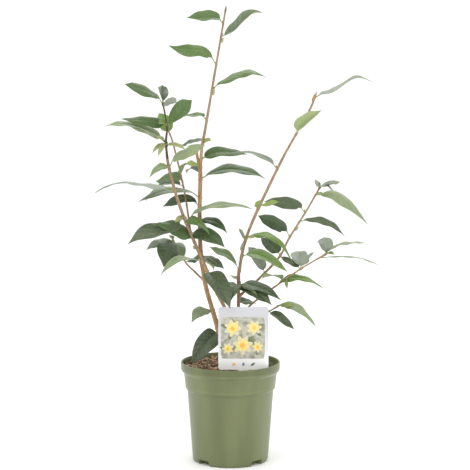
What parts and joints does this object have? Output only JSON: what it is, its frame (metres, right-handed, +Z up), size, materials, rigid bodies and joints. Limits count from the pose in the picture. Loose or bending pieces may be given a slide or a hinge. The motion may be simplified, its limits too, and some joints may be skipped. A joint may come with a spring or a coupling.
{
  "type": "potted camellia shrub",
  "caption": "Young open camellia shrub with upright slender stems and glossy pointed leaves, standing in a round nursery pot with a plain care card.",
  "frame": {"origin": "centre of the pot's flat underside, at the surface that it stands on", "axes": "+Z up along the pot's axis, -Y towards the side that the care card faces, +X to the right seen from there"},
  "size_m": [0.4711, 0.1967, 0.7702],
  "materials": {
    "pot": "satin moulded olive green",
    "compost": "loose composted bark",
    "card": "printed gloss card",
    "bark": "smooth tan bark",
    "foliage": "glossy leaf"
  },
  "bodies": {
    "root": {"pot": "pot", "soil": "compost", "care_label": "card", "leader_stem": "bark", "leader_spur_bough": "bark", "left_stem": "bark", "back_left_bough": "bark", "low_left_bough": "bark", "right_stem": "bark", "right_arm_bough": "bark", "low_right_bough": "bark", "label_side_bough": "bark", "leader_leaf_1": "foliage", "leader_leaf_2": "foliage", "leader_low_foliage": "foliage", "leader_mid_foliage": "foliage", "leader_top_foliage": "foliage", "left_low_foliage": "foliage", "left_mid_foliage": "foliage", "left_top_foliage": "foliage", "back_left_foliage": "foliage", "low_left_foliage": "foliage", "right_leaf_1": "foliage", "right_low_foliage": "foliage", "right_mid_foliage": "foliage", "right_top_foliage": "foliage", "right_arm_low_foliage": "foliage", "right_arm_top_foliage": "foliage", "low_right_foliage": "foliage", "label_side_foliage": "foliage"}
  },
  "joints": []
}
